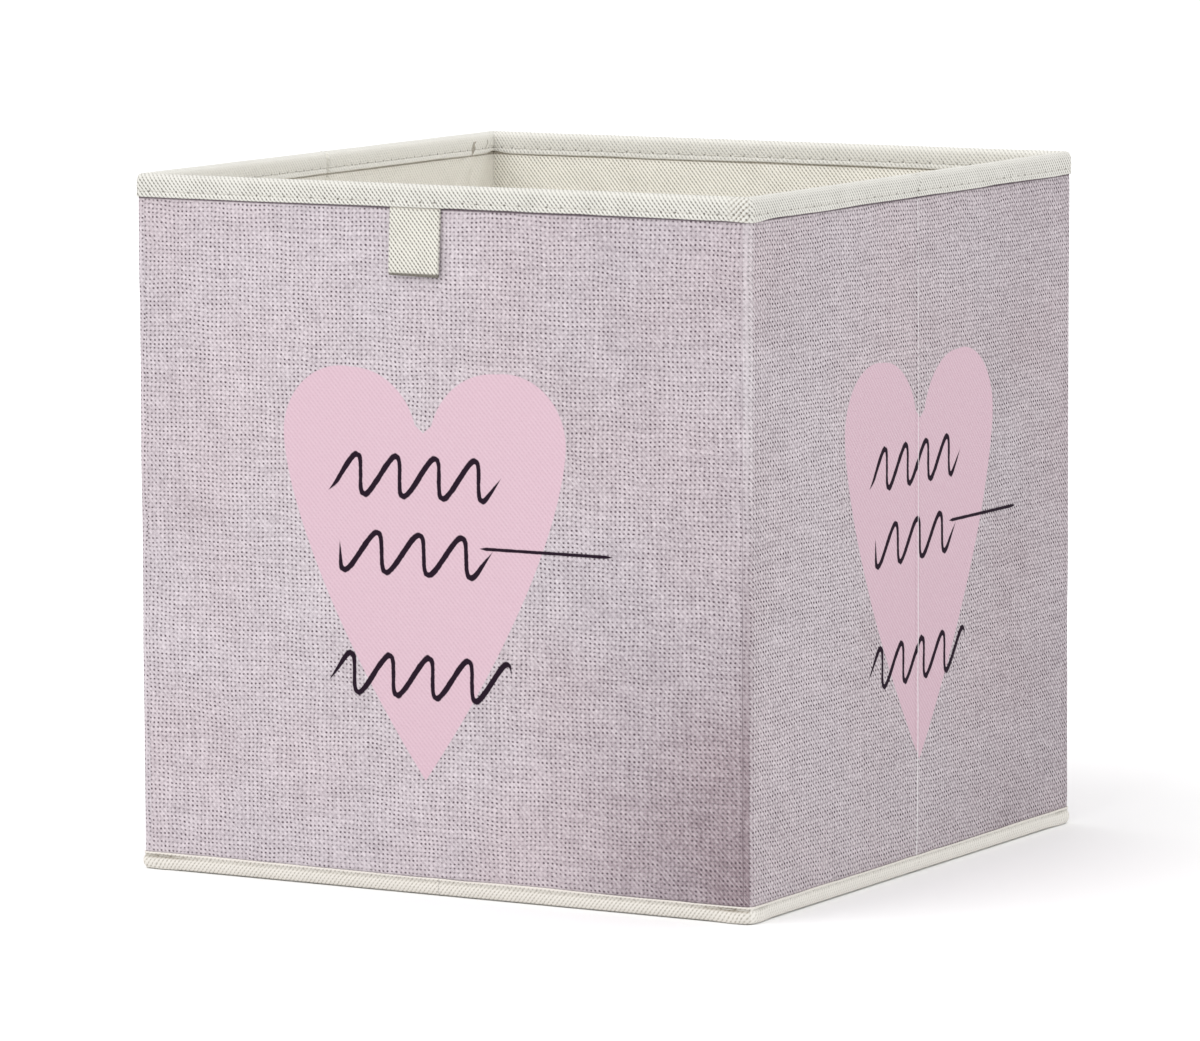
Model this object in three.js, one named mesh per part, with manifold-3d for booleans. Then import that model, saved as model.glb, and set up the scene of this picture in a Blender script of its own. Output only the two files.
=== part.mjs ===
// Folding fabric storage bin: six stiffened cloth walls, a bound rim, a bound foot,
// a loose base insert and a pull tab. Millimetres, +Z up, the front faces -Y.
// The origin is on the floor, in the middle of the base.
import * as THREE from "three";
import { mergeVertices } from "three/addons/utils/BufferGeometryUtils.js";
import Module from "manifold-3d";

const wasm = await Module();
wasm.setup();

// ---- driving dimensions ----
const WIDTH = 310; // left to right, outside the printed cloth
const DEPTH = 310; // front to back, outside the printed cloth
const HEIGHT = 312; // floor to the top of the rim
const GAP = 0.3; // left between pieces that touch

const CLOTH = 0.6; // printed outer cloth, lining and base cloth
const BOARD = 2.0; // stiffening boards
const TAPE = 0.5; // binding tape round the rim

const RIM_BAND = 10; // how far the rim binding reaches down each face
const RIM_ROUND = 2.0; // roundness of the tape over the top of a wall
const RIM_CORNER = 3.3; // roundness of the tape round an outside corner
const STACK_BELOW_RIM = 2.5; // a wall's layers end this far under the top

const FOOT_BAND = 7.5; // height of the bound seam round the bottom
const FOOT_PROUD = 0.5; // how far that seam stands out from the walls
const FOOT_THICK = 4.9;
const FOOT_ROUND = 2.4;
const FOOT_CORNER = 4.4;

const CORNER_ROUND = 2.5; // outside corners of the printed cloth
const CORNER_LEG = 3.7; // how far a corner fold reaches along the front or back
const CREASE_HALF = 1.2; // half the width of the folded strip in a side wall
const CREASE_OPEN = 0.5; // half the gap between the two halves of a side wall

const INSERT_SIZE = 297; // outside the insert's cover
const INSERT_COVER = 0.5;
const TAB_WIDTH = 25.5;
const TAB_LENGTH = 29.5;
const TAB_THICK = 1.2; // two layers of the same cloth
const TAB_CENTRE = -9.8; // left of the middle of the front

// ---- sizes that follow ----
const HALF_W = WIDTH / 2;
const HALF_D = DEPTH / 2;
const BOARD_AT = CLOTH + GAP;
const LINING_AT = BOARD_AT + BOARD + GAP;
const WALL = LINING_AT + CLOTH;
const RIM_OUT = GAP + TAPE; // rim stands this far outside the wall
const RIM_IN = WALL + GAP + TAPE; // and reaches this deep
const WALL_FROM = FOOT_BAND + GAP;
const WALL_TO = HEIGHT - STACK_BELOW_RIM;
const SIDE_HALF = HALF_D - RIM_IN - GAP - GAP / 2; // ends just clear of the front and back
const FOOT_IN = FOOT_THICK - FOOT_PROUD;

const CLOTH_PRINT = { color: 0xc6bac0, roughness: 0.92, metalness: 0 };
const CLOTH_CREAM = { color: 0xe0dcd2, roughness: 0.9, metalness: 0 };
const TAPE_CREAM = { color: 0xe4e1d9, roughness: 0.88, metalness: 0 };
const GREY_BOARD = { color: 0x9a9284, roughness: 0.95, metalness: 0 };

// ---- solids ----
function toManifold(geometry) {
  const bare = geometry.clone();
  bare.deleteAttribute("normal");
  bare.deleteAttribute("uv");
  const merged = mergeVertices(bare, 1e-5);
  const mesh = new wasm.Mesh({
    numProp: 3,
    vertProperties: new Float32Array(merged.attributes.position.array),
    triVerts: new Uint32Array(merged.index.array),
  });
  mesh.merge();
  return new wasm.Manifold(mesh);
}

function fromManifold(solid) {
  const mesh = solid.getMesh();
  const indexed = new THREE.BufferGeometry();
  indexed.setAttribute("position", new THREE.BufferAttribute(mesh.vertProperties, 3));
  indexed.setIndex(new THREE.BufferAttribute(mesh.triVerts, 1));
  const geometry = indexed.toNonIndexed();
  geometry.computeVertexNormals();
  return geometry;
}

function piece(name, geometry, look) {
  const mesh = new THREE.Mesh(geometry, new THREE.MeshStandardMaterial(look));
  mesh.name = name;
  return mesh;
}

// A plain block between two corners.
function block(x, y, z) {
  const geometry = new THREE.BoxGeometry(x[1] - x[0], y[1] - y[0], z[1] - z[0]);
  geometry.translate((x[0] + x[1]) / 2, (y[0] + y[1]) / 2, (z[0] + z[1]) / 2);
  return geometry;
}

// A rectangle whose four corners are rounded by their own radii, from the low corner round.
function roundedOutline(x, y, radii) {
  const [r0, r1, r2, r3] = radii;
  const shape = new THREE.Shape();
  shape.moveTo(x[0] + r0, y[0]);
  shape.lineTo(x[1] - r1, y[0]);
  if (r1) shape.absarc(x[1] - r1, y[0] + r1, r1, -Math.PI / 2, 0);
  shape.lineTo(x[1], y[1] - r2);
  if (r2) shape.absarc(x[1] - r2, y[1] - r2, r2, 0, Math.PI / 2);
  shape.lineTo(x[0] + r3, y[1]);
  if (r3) shape.absarc(x[0] + r3, y[1] - r3, r3, Math.PI / 2, Math.PI);
  shape.lineTo(x[0], y[0] + r0);
  if (r0) shape.absarc(x[0] + r0, y[0] + r0, r0, Math.PI, Math.PI * 1.5);
  return shape;
}

function extrude(shape, length) {
  return new THREE.ExtrudeGeometry(shape, { depth: length, bevelEnabled: false, curveSegments: 6 });
}

// A run of something along X: rounded in its cross-section, and in plan at its outer corners.
// y and z give the section; sectionRadii start at low y, low z and go round by high y.
function run(x, y, z, sectionRadii, planRadius) {
  const section = extrude(roundedOutline(y, z, sectionRadii), x[1] - x[0]);
  section.applyMatrix4(new THREE.Matrix4().set(0, 0, 1, x[0], 1, 0, 0, 0, 0, 1, 0, 0, 0, 0, 0, 1));
  if (!planRadius) return toManifold(section);
  const plan = extrude(roundedOutline(x, y, [planRadius, planRadius, 0, 0]), z[1] - z[0]);
  plan.translate(0, 0, z[0]);
  return toManifold(section).intersect(toManifold(plan));
}

// ---- walls ----
// Every wall is made facing -Y with its outer cloth at y = 0 and its depth towards +Y.

// The tape over the top of a wall. A closed end wraps round the wall's outer corner.
function rimBinding(name, x, closedEnds) {
  const top = [0, 0, RIM_ROUND, RIM_ROUND];
  const pocketTop = [0, 0, RIM_ROUND - TAPE, RIM_ROUND - TAPE];
  const end = closedEnds ? TAPE : -1;
  const outer = run(x, [-RIM_OUT, RIM_IN], [HEIGHT - RIM_BAND, HEIGHT], top, closedEnds ? RIM_CORNER : 0);
  const pocket = run(
    [x[0] + end, x[1] - end],
    [-GAP, RIM_IN - TAPE],
    [HEIGHT - RIM_BAND - 1, HEIGHT - TAPE],
    pocketTop,
    closedEnds ? RIM_CORNER - TAPE : 0,
  );
  return piece(name, fromManifold(outer.subtract(pocket)), TAPE_CREAM);
}

function layer(name, x, depth, thickness, look) {
  return piece(name, block(x, [depth, depth + thickness], [WALL_FROM, WALL_TO]), look);
}

// The folded strip of printed cloth round one end of the front or back wall.
function cornerFold(name, side) {
  const reach = HALF_W - CORNER_LEG;
  const outer = roundedOutline([reach, HALF_W], [0, WALL], [0, CORNER_ROUND, 0, 0]);
  const inner = roundedOutline([reach - 1, HALF_W - CLOTH], [CLOTH, WALL + 1], [0, CORNER_ROUND - CLOTH, 0, 0]);
  const height = WALL_TO - WALL_FROM;
  const solid = toManifold(extrude(outer, height)).subtract(toManifold(extrude(inner, height + 2)).translate(0, 0, -1));
  const placed = solid.translate(0, 0, WALL_FROM);
  return piece(name, fromManifold(side > 0 ? placed : placed.mirror([1, 0, 0])), CLOTH_PRINT);
}

function fullWall(label, corners) {
  const wall = new THREE.Group();
  const clothTo = HALF_W - CORNER_LEG - GAP;
  const boardTo = HALF_W - CORNER_ROUND;
  const liningTo = HALF_W - CLOTH - GAP;
  wall.add(layer(`${label}_outer_cloth`, [-clothTo, clothTo], 0, CLOTH, CLOTH_PRINT));
  wall.add(layer(`${label}_board`, [-boardTo, boardTo], BOARD_AT, BOARD, GREY_BOARD));
  wall.add(layer(`${label}_lining`, [-liningTo, liningTo], LINING_AT, CLOTH, CLOTH_CREAM));
  wall.add(rimBinding(`${label}_rim_binding`, [-HALF_W - RIM_OUT, HALF_W + RIM_OUT], true));
  wall.add(cornerFold(corners.low, -1));
  wall.add(cornerFold(corners.high, 1));
  return wall;
}

// Half of a side wall, from the crease to the corner, on the +X side of its own frame.
function sideHalf(label) {
  const half = new THREE.Group();
  half.add(layer(`${label}_outer_cloth`, [CREASE_HALF + GAP, SIDE_HALF], 0, CLOTH, CLOTH_PRINT));
  half.add(layer(`${label}_board`, [CREASE_HALF + GAP, SIDE_HALF - 1], BOARD_AT, BOARD, GREY_BOARD));
  half.add(layer(`${label}_lining`, [CREASE_OPEN, SIDE_HALF], LINING_AT, CLOTH, CLOTH_CREAM));
  half.add(rimBinding(`${label}_rim_binding`, [CREASE_OPEN, SIDE_HALF], false));
  return half;
}

function creaseStrip(name) {
  return layer(name, [-CREASE_HALF, CREASE_HALF], 0, CLOTH, CLOTH_PRINT);
}

function place(group, turn, x, y) {
  group.rotation.z = turn;
  group.position.set(x, y, 0);
  return group;
}

// ---- foot, base and pull tab ----
function footRun(name, halfLength, planRadius) {
  const section = [FOOT_ROUND, 0, 0, FOOT_ROUND / 2];
  const solid = run([-halfLength, halfLength], [-FOOT_PROUD, FOOT_IN], [0, FOOT_BAND], section, planRadius);
  return piece(name, fromManifold(solid), TAPE_CREAM);
}

function square(side, from, to) {
  return block([-side / 2, side / 2], [-side / 2, side / 2], [from, to]);
}

function baseInsert() {
  const insert = new THREE.Group();
  const inside = INSERT_SIZE - 2 * INSERT_COVER;
  const under = CLOTH + GAP;
  const boardAt = under + INSERT_COVER + GAP;
  const coverAt = boardAt + BOARD + GAP;
  const tray = toManifold(square(INSERT_SIZE, under, coverAt + INSERT_COVER));
  const hollow = toManifold(square(inside, under - 1, coverAt));
  insert.add(piece("base_insert_backing", square(inside - 2 * GAP, under, under + INSERT_COVER), CLOTH_CREAM));
  insert.add(piece("base_insert_board", square(inside - 2 * GAP, boardAt, boardAt + BOARD), GREY_BOARD));
  insert.add(piece("base_insert_cover", fromManifold(tray.subtract(hollow)), CLOTH_CREAM));
  return insert;
}

// The tab hangs from the lower edge of the rim binding; its bottom end is a fold.
function pullTab() {
  const top = HEIGHT - RIM_BAND - GAP;
  const fold = TAB_THICK / 2 - 0.05;
  const solid = run(
    [TAB_CENTRE - TAB_WIDTH / 2, TAB_CENTRE + TAB_WIDTH / 2],
    [-GAP - TAB_THICK, -GAP],
    [top - TAB_LENGTH, top],
    [fold, fold, 0, 0],
    0,
  );
  return piece("pull_tab", fromManifold(solid), CLOTH_CREAM);
}

function foot() {
  const ring = new THREE.Group();
  const long = HALF_W + FOOT_PROUD;
  const short = HALF_D - FOOT_IN - GAP;
  const quarter = Math.PI / 2;
  ring.add(place(footRun("foot_binding_front", long, FOOT_CORNER), 0, 0, -HALF_D));
  ring.add(place(footRun("foot_binding_back", long, FOOT_CORNER), 2 * quarter, 0, HALF_D));
  ring.add(place(footRun("foot_binding_left", short, 0), -quarter, -HALF_W, 0));
  ring.add(place(footRun("foot_binding_right", short, 0), quarter, HALF_W, 0));
  ring.add(piece("base_cloth", square(2 * (HALF_W - FOOT_IN - GAP), 0, CLOTH), CLOTH_CREAM));
  return ring;
}

function bin() {
  const object = new THREE.Group();
  object.name = "fabric_storage_bin";
  const quarter = Math.PI / 2;
  const front = fullWall("front", { low: "front_left_corner_fold", high: "front_right_corner_fold" });
  front.add(pullTab());
  const back = fullWall("back", { low: "back_right_corner_fold", high: "back_left_corner_fold" });
  object.add(place(front, 0, 0, -HALF_D));
  object.add(place(back, 2 * quarter, 0, HALF_D));

  // In a side wall's own frame the +X half is at the front on the left, and at the back on the right.
  const left = new THREE.Group();
  const right = new THREE.Group();
  left.add(sideHalf("left_front"), creaseStrip("left_crease_strip"));
  right.add(sideHalf("right_rear"), creaseStrip("right_crease_strip"));
  left.add(mirrored(sideHalf("left_rear")));
  right.add(mirrored(sideHalf("right_front")));
  object.add(place(left, -quarter, -HALF_W, 0));
  object.add(place(right, quarter, HALF_W, 0));

  object.add(foot(), baseInsert());
  return object;
}

// The same half on the other side of the crease: mirrored in X, with its faces turned right way out.
function mirrored(half) {
  for (const mesh of half.children) {
    const solid = toManifold(mesh.geometry).mirror([1, 0, 0]);
    mesh.geometry = fromManifold(solid);
  }
  return half;
}

export default bin();
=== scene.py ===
import math

import bmesh
import bpy
import numpy as np
from mathutils import Matrix


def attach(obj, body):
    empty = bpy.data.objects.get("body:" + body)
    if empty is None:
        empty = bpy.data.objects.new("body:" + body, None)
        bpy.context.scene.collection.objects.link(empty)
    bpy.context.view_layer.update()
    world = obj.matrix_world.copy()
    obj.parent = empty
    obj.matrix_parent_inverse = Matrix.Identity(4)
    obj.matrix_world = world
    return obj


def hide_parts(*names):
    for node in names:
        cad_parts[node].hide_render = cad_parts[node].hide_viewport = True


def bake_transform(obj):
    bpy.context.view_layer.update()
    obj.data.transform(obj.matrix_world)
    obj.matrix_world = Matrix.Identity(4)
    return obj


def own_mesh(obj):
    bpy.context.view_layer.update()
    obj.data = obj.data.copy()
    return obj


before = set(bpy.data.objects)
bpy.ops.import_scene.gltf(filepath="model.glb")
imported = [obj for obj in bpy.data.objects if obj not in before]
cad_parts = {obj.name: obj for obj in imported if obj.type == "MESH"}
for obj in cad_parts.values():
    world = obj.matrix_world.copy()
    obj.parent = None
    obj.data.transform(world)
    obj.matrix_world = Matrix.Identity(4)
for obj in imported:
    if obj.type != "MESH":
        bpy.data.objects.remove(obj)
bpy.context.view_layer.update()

# All shapes are worked out in millimetres, in the frame's own axes, and stored in metres.
MM = 0.001

# ---- camera ----
CAMERA_AT = (1.6256, -2.8643, 0.5502)
CAMERA_YAW = -29.68
CAMERA_PITCH = -6.947
CAMERA_ROLL = -0.217
SENSOR = 36.0
LENS = 219.1

# ---- the bin ----
HALF = 155.0  # the printed cloth's faces stand this far from the middle
CORNER = 3.0  # roundness of its outside corners
TIGHTEST = 0.6  # roundness of the inside layers' corners
STRAIGHT = HALF - CORNER
ARC = math.pi / 2 * CORNER
SIDE = 2 * STRAIGHT + ARC  # along the cloth, from the middle of one side to the next
ROUND = 4 * SIDE  # once round the bin
SQUEEZE_FROM = 140.0  # inner layers are shorter, and take it up beyond here

WIDE_CUT = 150.6  # front and back carry their cloth this far towards the corners
NARROW_CUT = 149.2  # and the side walls this far
CREASE_CUT = 1.6  # half the soft strip at a side's crease

PRINT_THICK = 0.35
LINING_THICK = 0.35
TAPE_THICK = 0.45
LINING_AT = -3.75  # the lining's visible face, inwards from the printed face
CLOTH_FROM = 6.9  # the walls' cloths reach from this height
CLOTH_TO = 308.4  # to this one
STEP = 3.5  # spacing of a cloth mesh's rows and columns

STITCH = ROUND / 176  # length of a stitch in the rim and the foot
RIM_STITCH_Z = 304.4
FOOT_STITCH_Z = 5.95
THREAD = 0.17  # radius of the sewing thread

TAB_LEFT = -22.5
TAB_RIGHT = 3.0
TAPE_JOIN = SIDE + 93.0  # where the rim tape's two ends lap, on the right side


# ---- wavy and smooth functions ----
def ripple(u, v, size, seed):
    """Smooth noise from -1 to 1 over the cloth, with bumps about size across. It meets itself once round."""
    around = max(4, int(round(ROUND / size)))
    table = np.random.RandomState(seed).uniform(-1, 1, (around, 64))
    p = (np.asarray(u, float) / ROUND * around) % around
    q = (np.asarray(v, float) / size + 8.0) % 64
    i = np.floor(p).astype(int)
    j = np.floor(q).astype(int)
    s = p - i
    t = q - j
    s = s * s * (3 - 2 * s)
    t = t * t * (3 - 2 * t)
    near = table[i % around, j % 64] * (1 - s) + table[(i + 1) % around, j % 64] * s
    far = table[i % around, (j + 1) % 64] * (1 - s) + table[(i + 1) % around, (j + 1) % 64] * s
    return near * (1 - t) + far * t


def bump(x, width):
    """1 at x = 0, falling to 0 a few widths away."""
    return np.exp(-((np.asarray(x, float) / width) ** 2))


def ramp(x, low, high):
    """0 below low, 1 above high, and smooth between."""
    t = np.clip((np.asarray(x, float) - low) / (high - low), 0, 1)
    return t * t * (3 - 2 * t)


def through(points, count):
    """A smooth curve through points, as count evenly spaced points, and how far along it each one is."""
    p = np.array(points, float)
    p = np.vstack([2 * p[0] - p[1], p, 2 * p[-1] - p[-2]])
    fine = []
    for i in range(1, len(p) - 2):
        t = np.linspace(0, 1, 24, endpoint=False)[:, None]
        fine.append(0.5 * (
            2 * p[i]
            + (p[i + 1] - p[i - 1]) * t
            + (2 * p[i - 1] - 5 * p[i] + 4 * p[i + 1] - p[i + 2]) * t ** 2
            + (3 * p[i] - p[i - 1] - 3 * p[i + 1] + p[i + 2]) * t ** 3
        ))
    fine = np.vstack(fine + [p[-2:-1]])
    run = np.concatenate([[0], np.cumsum(np.linalg.norm(np.diff(fine, axis=0), axis=1))])
    at = np.linspace(0, run[-1], count)
    return np.stack([np.interp(at, run, fine[:, k]) for k in range(fine.shape[1])], 1), at


# ---- the plan of the bin ----
def plan(c, out):
    """x and y of a point c along the cloth from the middle of the front, and out from its printed face."""
    c, out = np.broadcast_arrays(np.asarray(c, float), np.asarray(out, float))
    side = np.floor(c / SIDE + 0.5)
    a = c - side * SIDE
    far = np.abs(a)
    radius = np.maximum(CORNER + out, TIGHTEST)
    straight = HALF + out - radius
    pressed = SQUEEZE_FROM + (far - SQUEEZE_FROM) * (straight - SQUEEZE_FROM) / (STRAIGHT - SQUEEZE_FROM)
    along = np.where(far < SQUEEZE_FROM, far, np.minimum(pressed, straight))
    turn = np.clip((far - STRAIGHT) / CORNER, 0, math.pi / 4)
    x = np.sign(a) * (along + radius * np.sin(turn))
    y = -(straight + radius * np.cos(turn))
    quarter = side * (math.pi / 2)
    return x * np.cos(quarter) - y * np.sin(quarter), x * np.sin(quarter) + y * np.cos(quarter)


def on_side(side, a):
    """The place along the cloth that is a from the middle of a side: 0 front, 1 right, 2 back, 3 left."""
    return side * SIDE + a


def from_middle(c):
    """Which side, and how far from its middle."""
    side = np.floor(np.asarray(c, float) / SIDE + 0.5)
    return side % 4, c - side * SIDE


# name, from, to, the body before it or its own, the body after it
SEGMENTS = [
    ("front", on_side(0, -WIDE_CUT), on_side(0, WIDE_CUT), "front_wall", None),
    ("front_right_corner", on_side(0, WIDE_CUT), on_side(1, -NARROW_CUT), "front_wall", None),
    ("right_front", on_side(1, -NARROW_CUT), on_side(1, -CREASE_CUT), "right_front_wall", None),
    ("right_crease", on_side(1, -CREASE_CUT), on_side(1, CREASE_CUT), "right_front_wall", "right_rear_wall"),
    ("right_rear", on_side(1, CREASE_CUT), on_side(1, NARROW_CUT), "right_rear_wall", None),
    ("back_right_corner", on_side(1, NARROW_CUT), on_side(2, -WIDE_CUT), "right_rear_wall", "back_wall"),
    ("back", on_side(2, -WIDE_CUT), on_side(2, WIDE_CUT), "back_wall", None),
    ("back_left_corner", on_side(2, WIDE_CUT), on_side(3, -NARROW_CUT), "back_wall", "left_rear_wall"),
    ("left_rear", on_side(3, -NARROW_CUT), on_side(3, -CREASE_CUT), "left_rear_wall", None),
    ("left_crease", on_side(3, -CREASE_CUT), on_side(3, CREASE_CUT), "left_rear_wall", "left_front_wall"),
    ("left_front", on_side(3, CREASE_CUT), on_side(3, NARROW_CUT), "left_front_wall", None),
    ("front_left_corner", on_side(3, NARROW_CUT), on_side(4, -WIDE_CUT), "left_front_wall", "front_wall"),
]
WALLS = ("front", "back", "left_front", "left_rear", "right_front", "right_rear")
UNDERLAP = (on_side(0, 148.6), on_side(1, -NARROW_CUT))  # where cloth lies under the front right corner
CREASE_MARKS = np.array([-6.0, -4.0, -2.6, -1.2, -0.8, -0.4, 0.0, 0.4, 0.8, 1.2, 2.6, 4.0, 6.0])
CLOSEST = 0.12  # columns are no closer together than this


def columns(start, end, extra=()):
    """Places along the cloth from start to end, closer together round corners and at creases."""
    marks = [start, end]
    for side in range(-1, 6):
        for corner in (-1, 1):
            marks += list(on_side(side, corner * np.linspace(STRAIGHT - 4, STRAIGHT + ARC / 2, 12)))
        if side % 2:
            marks += list(on_side(side, CREASE_MARKS))
    marks += list(np.arange(math.floor(start / STEP), math.ceil(end / STEP) + 1) * STEP)
    marks += list(extra)
    marks = np.unique([m for m in marks if start <= m <= end])
    kept = [start]
    for m in marks[1:]:
        if m - kept[-1] > CLOSEST:
            kept.append(m)
    if end - kept[-1] < CLOSEST and len(kept) > 1:
        kept.pop()
    if kept[-1] != end:
        kept.append(end)
    return np.array(kept)


def stitch_columns(start, end):
    """Columns that show each needle hole of the rim."""
    shares = np.array([-0.13, -0.065, 0, 0.065, 0.13, 0.32])
    first = math.floor(start / STITCH) - 1
    last = math.ceil(end / STITCH) + 1
    return [(n + share) * STITCH for n in range(first, last) for share in shares]


# ---- meshes ----
def normals_of(points, closed):
    """Unit normals of a grid of points; they face out if columns run anticlockwise and rows run up."""
    if closed:
        across = np.roll(points, -1, 1) - np.roll(points, 1, 1)
    else:
        across = np.gradient(points, axis=1)
    along = np.gradient(points, axis=0)
    n = np.cross(across, along)
    return n / np.maximum(np.linalg.norm(n, axis=2, keepdims=True), 1e-12)


def grid_faces(rows, cols, closed, start=0, flip=False):
    """The quads of a grid of points that are numbered from start, row by row."""
    i, j = np.meshgrid(np.arange(rows - 1), np.arange(cols if closed else cols - 1), indexing="ij")
    k = (j + 1) % cols
    corners = [i * cols + j, i * cols + k, (i + 1) * cols + k, (i + 1) * cols + j]
    f = np.stack(corners, -1).reshape(-1, 4) + start
    return f[:, ::-1] if flip else f


def new_piece(name, vertices, faces, flat, material):
    """A mesh object from points in millimetres. flat holds each point's place on the flat cloth."""
    mesh = bpy.data.meshes.new(name)
    mesh.from_pydata((np.asarray(vertices) * MM).tolist(), [], [list(map(int, f)) for f in faces])
    store = mesh.attributes.new("flat", "FLOAT_VECTOR", "POINT")
    values = np.zeros((len(vertices), 3), np.float32)
    values[:, : np.shape(flat)[1]] = flat
    store.data.foreach_set("vector", values.ravel())
    mesh.polygons.foreach_set("use_smooth", [True] * len(mesh.polygons))
    mesh.materials.append(material)
    mesh.update()
    obj = bpy.data.objects.new(name, mesh)
    bpy.context.scene.collection.objects.link(obj)
    return obj


def cloth(name, points, flat, thick, material, closed=False):
    """A sheet with a real thickness: points are its good face, and the other face is thick behind it."""
    rows, cols = points.shape[:2]
    back = points - thick * normals_of(points, closed)
    count = rows * cols
    faces = [grid_faces(rows, cols, closed), grid_faces(rows, cols, closed, count, True)]
    j = np.arange(cols if closed else cols - 1)
    k = (j + 1) % cols
    top = (rows - 1) * cols
    faces.append(np.stack([k, j, j + count, k + count], 1))
    faces.append(np.stack([top + j, top + k, top + k + count, top + j + count], 1))
    if not closed:
        i = np.arange(rows - 1) * cols
        faces.append(np.stack([i, i + cols, i + cols + count, i + count], 1))
        i = i + cols - 1
        faces.append(np.stack([i + cols, i, i + count, i + cols + count], 1))
    both = np.concatenate([points.reshape(-1, 3), back.reshape(-1, 3)])
    flats = np.tile(flat.reshape(-1, flat.shape[-1]), (2, 1))
    return new_piece(name, both, np.concatenate(faces), flats, material)


def tubes(name, paths, material, sides=6):
    """Short rounded threads along paths, which are arrays of points."""
    vertices = []
    faces = []
    for path in paths:
        steps = len(path)
        direction = path[-1] - path[0]
        direction = direction / np.linalg.norm(direction)
        up = np.cross(direction, np.cross([0.02, 0.03, 1.0], direction))
        up = up / np.linalg.norm(up)
        side = np.cross(direction, up)
        start = len(vertices)
        for i, p in enumerate(path):
            r = THREAD * math.sqrt(max(0.12, 1 - abs(2 * i / (steps - 1) - 1) ** 6))
            for s in range(sides):
                angle = 2 * math.pi * s / sides
                vertices.append(p + r * (math.cos(angle) * up + math.sin(angle) * side))
        for i in range(steps - 1):
            for s in range(sides):
                t = (s + 1) % sides
                a = start + i * sides
                faces.append([a + t, a + s, a + sides + s, a + sides + t])
        faces.append([start + s for s in range(sides)])
        faces.append([start + (steps - 1) * sides + s for s in reversed(range(sides))])
    flat = np.array([[v[0] + v[1], v[2]] for v in vertices])
    return new_piece(name, np.array(vertices), faces, flat, material)


def settle(obj, body, after, first, last):
    """obj rides on its body. If a body follows it, obj is only fixed where it stands: the way from its first
    column to its last is worked out but not used.
    """
    if after is None:
        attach(obj, body)
        return
    first = first.reshape(-1, 3) * MM
    last = last.reshape(-1, 3) * MM
    way = last.mean(0) - first.mean(0)
    way[2] = 0
    way = way / np.linalg.norm(way)
    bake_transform(obj)


# ---- shapes of the cloth ----
def placed(c, out, z, across):
    """The points of a cloth in the bin, and their places on the flat cloth: along, across, and the height."""
    x, y = plan(c, out)
    return np.stack([x, y, z], -1), np.stack([c, across, z], -1)


def wall_swell(c, z):
    """How far the printed cloth stands out from its flat face."""
    side, a = from_middle(c)
    most = np.where(side == 0, 0.9, 0.55)
    middle = np.clip(1 - (a / STRAIGHT) ** 2, 0, 1) * np.clip(1 - ((z - 155) / 148) ** 2, 0, 1)
    crease = np.where(side % 2 == 1, 0.3 * bump(a, 1.1) - 0.12 * bump(a, 7), 0.0)
    soft = 0.16 * ripple(c, z, 46, 3) + 0.07 * ripple(c, z, 17, 4)
    slack = ramp(np.abs(z - 155), 150, 140)  # the bindings hold the cloth at its top and bottom
    return most * middle + crease * slack + soft * slack - 0.12 * (1 - slack)


def printed_points(cs, zs, sink=0.0):
    """The printed cloth's good face, or a layer that lies sink behind it."""
    c, z = np.meshgrid(cs, zs)
    x, y = plan(c, wall_swell(c, z) - sink)
    return np.stack([x, y, z], -1), np.stack([c, z], -1)


def crease_groove(a):
    """How far the inner layers are pressed in between the boards at a side's crease, so that it can fold."""
    return 2.2 * bump(a, 0.8) + 0.2 * bump(a, 2.0)


# soft folds in the lining that fan down from the top of the back left corner: distance from it, depth
FAN_FOLDS = ((6.0, 1.0), (12.5, -0.5), (18.5, 0.9), (27.0, -0.4), (38.0, 0.5))


def fan_folds(side, a, z):
    """How far the fan of folds stands into the bin."""
    across = np.where(side == 3, a + STRAIGHT, 1e3)
    drop = CLOTH_TO - z
    lean = across - 0.55 * drop
    folds = sum(deep * bump(lean - at, 2.4) for at, deep in FAN_FOLDS)
    return folds * bump(drop, 90) * ramp(across, 1.5, 7)


def lining_points(cs, zs):
    """The lining's good face, which looks into the bin."""
    c, z = np.meshgrid(cs, zs)
    side, a = from_middle(c)
    out = LINING_AT - 0.25 * (1 + ripple(c, z, 38, 7)) * ramp(STRAIGHT - np.abs(a), 3, 30)
    out = out - fan_folds(side, a, z) + np.where(side % 2 == 1, crease_groove(a), 0.0)
    x, y = plan(c, out)
    return np.stack([x, y, z], -1), np.stack([c, z], -1)


def profile_grid(cs, profile, rows):
    """A profile swept along the cloth: place along the cloth, out, height, and way along the profile."""
    curve, run = through(profile, rows)
    c, out = np.meshgrid(cs, curve[:, 0])
    z = np.broadcast_to(curve[:, 1][:, None], c.shape).copy()
    w = np.broadcast_to(run[:, None], c.shape)
    return c, out, z, w


def hole_dip(c, z, hole_z, deep):
    """A dimple at each needle hole, and a shallow pull between them."""
    to_hole = (c / STITCH - np.round(c / STITCH)) * STITCH
    return deep * bump(to_hole, 0.6) * bump(z - hole_z, 0.55) + 0.1 * deep * bump(z - hole_z, 0.9)


# Each profile runs from the tape's outer edge, round the fold, to its inner edge: out from the printed
# cloth's face, height.
RIM_PROFILE = [
    (0.62, 301.75), (0.86, 301.95), (0.92, 302.7), (0.84, 303.6), (0.74, 304.4), (0.80, 305.3), (0.84, 306.8),
    (0.76, 308.7), (0.38, 310.4), (-0.5, 311.55), (-1.9, 312.0), (-3.3, 311.55), (-4.15, 310.4),
    (-4.5, 308.7),
    (-4.56, 306.8), (-4.52, 305.3), (-4.46, 304.4), (-4.54, 303.6), (-4.66, 302.7),
    (-4.64, 301.95), (-4.4, 301.7),
]
RIM_ROWS = 52
TUCK = 2.6  # pitch of the tucks in the rim tape at the front right corner


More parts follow.
